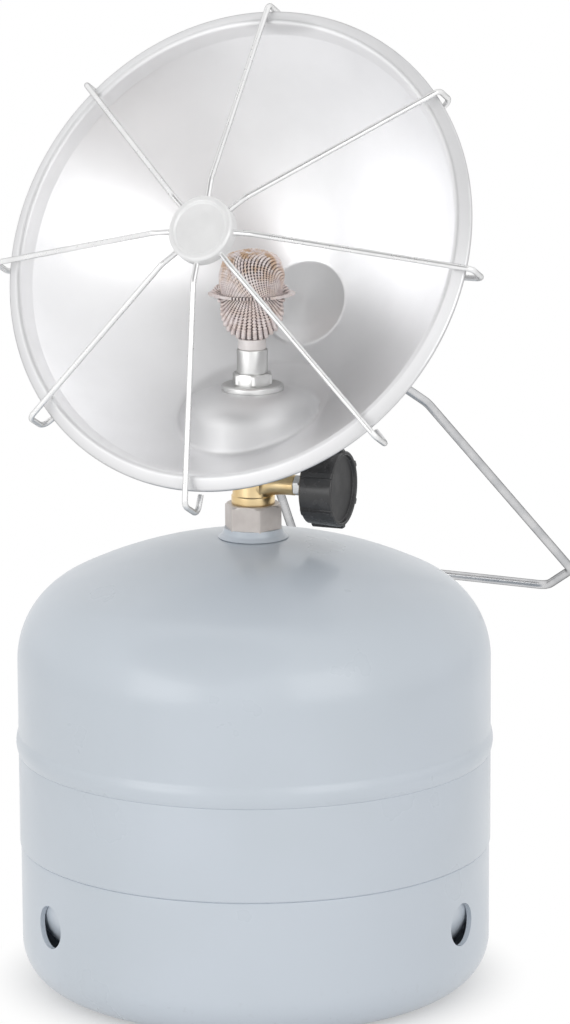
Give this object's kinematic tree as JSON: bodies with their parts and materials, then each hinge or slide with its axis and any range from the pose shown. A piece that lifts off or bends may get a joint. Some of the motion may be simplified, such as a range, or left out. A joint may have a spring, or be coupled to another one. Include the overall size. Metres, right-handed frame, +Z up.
{
  "type": "outdoor gas heater",
  "caption": "Camping gas heater: tilted bowl reflector with gauze burner, hooked wire guard, hinged wire stand and side valve knob, screwed on a low round gas bottle.",
  "frame": {"origin": "where the bottle's axis meets the floor it stands on", "axes": "+Z up along the bottle's axis, the reflector faces -Y and up, the control knob points along +X"},
  "size_m": [0.2234, 0.2974, 0.419],
  "materials": {
    "bottle_paint": "semi-gloss pale blue-grey enamel",
    "boss_steel": "pale plated steel",
    "seal_rubber": "matt black",
    "bright_steel": "turned steel",
    "brass": "machined brass",
    "knob_plastic": "moulded, lightly grained",
    "plated_steel": "bright nickel plate",
    "collar_steel": "pale satin",
    "gauze_steel": "heat-tinted woven gauze",
    "reflector_alloy": "bright satin, formed sheet",
    "guard_steel": "bright plated wire",
    "stand_zinc": "zinc plate"
  },
  "bodies": {
    "heater": {"bottle_upper_shell": "bottle_paint", "bottle_lower_shell": "bottle_paint", "bottle_foot_ring": "bottle_paint", "bottle_valve_boss": "boss_steel", "bottle_boss_seal": "seal_rubber", "bottle_check_ball": "bright_steel", "bottle_check_spring": "bright_steel", "valve_body": "brass", "jet_nozzle": "brass", "gland_nut": "plated_steel", "gland_seal": "seal_rubber", "mixing_tube": "plated_steel", "burner_washer": "plated_steel", "burner_nut": "plated_steel", "burner_sleeve": "plated_steel", "gauze_collar": "collar_steel", "gauze_lower": "gauze_steel", "gauze_upper": "gauze_steel", "reflector": "reflector_alloy", "guard_wire_1": "guard_steel", "guard_wire_2": "guard_steel", "guard_wire_3": "guard_steel", "guard_wire_4": "guard_steel", "guard_wire_5": "guard_steel", "guard_wire_6": "guard_steel", "guard_wire_7": "guard_steel", "guard_wire_8": "guard_steel", "guard_hub_cup": "guard_steel", "guard_hub_plate": "guard_steel", "stand_bracket": "stand_zinc"},
    "control": {"knob": "knob_plastic", "spindle": "bright_steel"},
    "stand": {"stand_wire": "stand_zinc"}
  },
  "joints": [
    {"name": "control_turn", "type": "hinge", "parent": "heater", "child": "control", "pos_m": [0, 0, 0.2188], "axis": [0.9962, 0.0872, 0], "range_deg": [0, 450]},
    {"name": "stand_fold", "type": "hinge", "parent": "heater", "child": "stand", "pos_m": [0, 0.04837, 0.27148], "axis": [1, 0, 0], "range_deg": [0, 105]}
  ]
}
